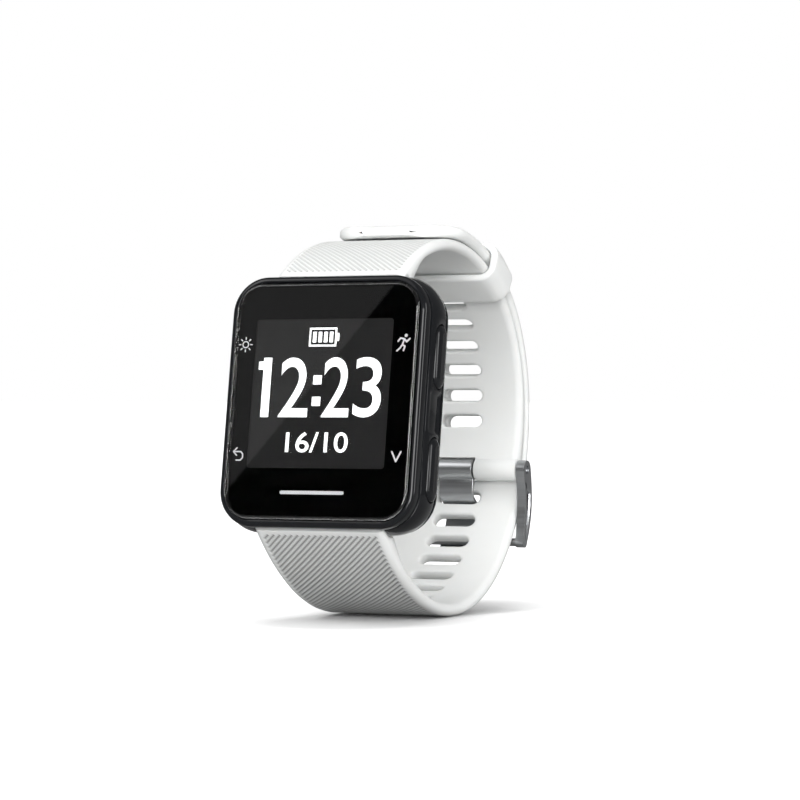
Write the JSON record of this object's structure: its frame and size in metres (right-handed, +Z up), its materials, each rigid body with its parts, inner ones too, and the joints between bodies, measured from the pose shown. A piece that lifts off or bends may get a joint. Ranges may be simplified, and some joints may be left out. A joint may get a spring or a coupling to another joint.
{
  "type": "gps running watch",
  "caption": "Square-faced running watch on a buckled silicone strap, with side buttons, a rear sensor dome, a sliding keeper and a steel pin buckle.",
  "frame": {"origin": "the wrist's axis, in the middle of the closed strap loop and midway across the strap", "axes": "+X along the wrist, towards the watch's right side as it is read; the face looks to -Y and leans back 9.5 degrees; +Z up"},
  "size_m": [0.0358, 0.0646, 0.0636],
  "materials": {
    "gloss_black": "gloss",
    "satin_black": "satin",
    "cover_lens": "clear with a dark printed border",
    "sensor_lens": "gloss",
    "screen": "reflective screen",
    "inner_plastic": "matt",
    "board": "solder mask",
    "ribbon": "film",
    "tin_plate": "bright",
    "steel": "ground",
    "buckle_steel": "brushed, dark grey",
    "patch_ceramic": "fired",
    "gold": "plated",
    "foil": "foil wrap",
    "seal": "matt",
    "tungsten": "sintered",
    "white_silicone": "fine ribs outside, smooth inside",
    "diode": "clear resin"
  },
  "bodies": {
    "watch": {"front_bezel": "gloss_black", "cover_glass": "cover_lens", "glass_gasket": "seal", "mid_case": "gloss_black", "back_gasket": "seal", "back_cover": "satin_black", "back_screws": "steel", "sensor_window": "sensor_lens", "charge_contacts": "gold", "display_panel": "screen", "display_frame": "inner_plastic", "display_flex": "ribbon", "inner_chassis": "inner_plastic", "main_board": "board", "shield_can": "tin_plate", "gps_antenna": "patch_ceramic", "battery": "foil", "motor_can": "tin_plate", "beeper": "gold", "sensor_board": "board", "sensor_leds": "diode", "photodiode": "diode", "switch_bodies": "inner_plastic", "upper_strap": "white_silicone", "lower_strap": "white_silicone", "upper_spring_bar": "steel", "lower_spring_bar": "steel", "upper_bar_spring": "steel", "lower_bar_spring": "steel"},
    "light_button": {"light_button": "gloss_black", "light_o_ring": "seal", "light_clip": "steel", "light_plunger": "inner_plastic"},
    "run_button": {"run_button": "gloss_black", "run_o_ring": "seal", "run_clip": "steel", "run_plunger": "inner_plastic"},
    "back_button": {"back_button": "gloss_black", "back_o_ring": "seal", "back_clip": "steel", "back_plunger": "inner_plastic"},
    "down_button": {"down_button": "gloss_black", "down_o_ring": "seal", "down_clip": "steel", "down_plunger": "inner_plastic"},
    "motor_rotor": {"motor_shaft": "steel", "motor_weight": "tungsten"},
    "upper_left_tip": {"upper_left_tip": "steel"},
    "upper_right_tip": {"upper_right_tip": "steel"},
    "lower_left_tip": {"lower_left_tip": "steel"},
    "lower_right_tip": {"lower_right_tip": "steel"},
    "keeper": {"keeper": "white_silicone"},
    "buckle_frame": {"buckle_frame": "buckle_steel", "buckle_bar": "buckle_steel"},
    "buckle_tongue": {"buckle_tongue": "buckle_steel"}
  },
  "joints": [
    {"name": "light_press", "type": "slide", "parent": "watch", "child": "light_button", "axis": [1, 0, 0], "range_m": [0, 0.0004], "stiffness_N_per_m": 1500},
    {"name": "run_press", "type": "slide", "parent": "watch", "child": "run_button", "axis": [-1, 0, 0], "range_m": [0, 0.0004], "stiffness_N_per_m": 1500},
    {"name": "back_press", "type": "slide", "parent": "watch", "child": "back_button", "axis": [1, 0, 0], "range_m": [0, 0.0004], "stiffness_N_per_m": 1500},
    {"name": "down_press", "type": "slide", "parent": "watch", "child": "down_button", "axis": [-1, 0, 0], "range_m": [0, 0.0004], "stiffness_N_per_m": 1500},
    {"name": "motor_spin", "type": "hinge", "parent": "watch", "child": "motor_rotor", "pos_m": [0.0076, -0.02911, -0.00393], "axis": [0, 0.165, 0.9863], "continuous": true},
    {"name": "upper_left_tip_slide", "type": "slide", "parent": "watch", "child": "upper_left_tip", "axis": [1, 0, 0], "range_m": [0, 0.0009], "stiffness_N_per_m": 800, "deforming": ["upper_bar_spring"]},
    {"name": "upper_right_tip_slide", "type": "slide", "parent": "watch", "child": "upper_right_tip", "axis": [-1, 0, 0], "range_m": [0, 0.0009], "stiffness_N_per_m": 800},
    {"name": "lower_left_tip_slide", "type": "slide", "parent": "watch", "child": "lower_left_tip", "axis": [1, 0, 0], "range_m": [0, 0.0009], "stiffness_N_per_m": 800, "deforming": ["lower_bar_spring"]},
    {"name": "lower_right_tip_slide", "type": "slide", "parent": "watch", "child": "lower_right_tip", "axis": [-1, 0, 0], "range_m": [0, 0.0009], "stiffness_N_per_m": 800},
    {"name": "keeper_slide", "type": "hinge", "parent": "watch", "child": "keeper", "pos_m": [0, -0.00672, -0.00453], "axis": [1, 0, 0], "range_deg": [-2, 24]},
    {"name": "frame_swing", "type": "hinge", "parent": "watch", "child": "buckle_frame", "pos_m": [0, 0.02145, -0.00686], "axis": [1, 0, 0], "range_deg": [0, 10]},
    {"name": "tongue_swing", "type": "hinge", "parent": "buckle_frame", "child": "buckle_tongue", "pos_m": [0, 0.02145, -0.00686], "axis": [1, 0, 0], "range_deg": [0, 8]}
  ]
}
